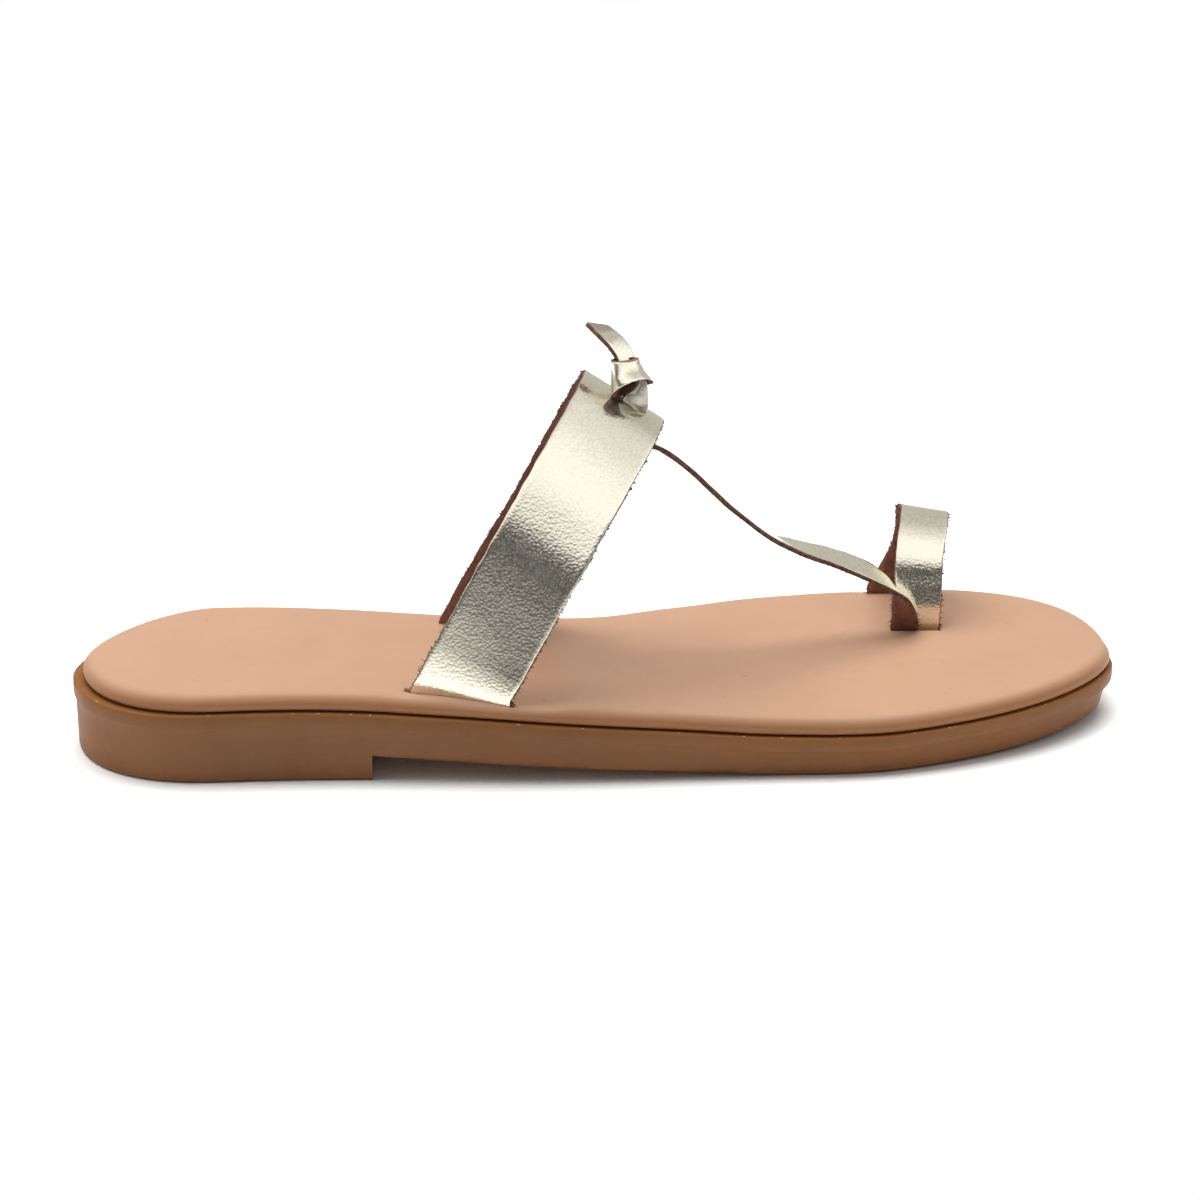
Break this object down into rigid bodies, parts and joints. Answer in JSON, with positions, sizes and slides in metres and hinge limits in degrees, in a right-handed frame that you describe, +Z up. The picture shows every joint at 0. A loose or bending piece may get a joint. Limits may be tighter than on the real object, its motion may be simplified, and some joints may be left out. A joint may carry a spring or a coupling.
{
  "type": "toe loop sandal",
  "caption": "Flat open sandal with a low-heeled moulded sole, a padded insole, an instep band, a loop for the big toe and a knotted strap that joins them.",
  "frame": {"origin": "middle of the sole's footprint, on the floor", "axes": "+X towards the toe, +Y towards the inner side of the right foot, +Z up"},
  "size_m": [0.2584, 0.0896, 0.1059],
  "materials": {
    "outsole": "satin tan moulded rubber",
    "insole": "smooth peach tan leather",
    "instep_strap": "metallic champagne leather",
    "toe_loop": "metallic champagne leather",
    "toe_strap": "metallic champagne leather",
    "knot": "metallic champagne leather"
  },
  "bodies": {
    "root": {"outsole": "outsole", "insole": "insole", "instep_strap": "instep_strap", "toe_loop": "toe_loop", "toe_strap": "toe_strap", "knot": "knot"}
  },
  "joints": []
}
